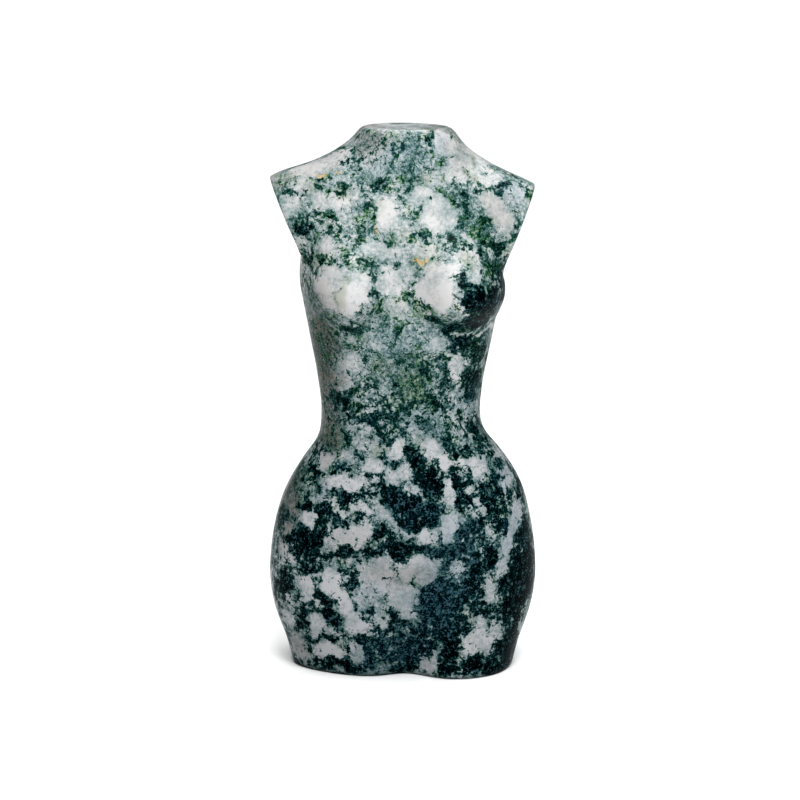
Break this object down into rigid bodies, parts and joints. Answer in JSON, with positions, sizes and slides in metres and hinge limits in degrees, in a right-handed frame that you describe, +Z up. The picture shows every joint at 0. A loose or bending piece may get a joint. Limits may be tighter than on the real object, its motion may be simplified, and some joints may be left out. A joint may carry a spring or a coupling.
{
  "type": "female torso sculpture",
  "caption": "Small carved stone torso of a woman, cut flat at the neck, the arms and below the hips, that stands on its flat underside.",
  "frame": {"origin": "centre of the bounding box's footprint, on the flat underside", "axes": "+Z up along the figure, +X to the viewer's right, and the figure faces -Y"},
  "size_m": [0.0398, 0.0258, 0.0801],
  "materials": {
    "moss_agate": "polished, mossy dark green on white and grey-blue"
  },
  "bodies": {
    "root": {"torso": "moss_agate"}
  },
  "joints": []
}
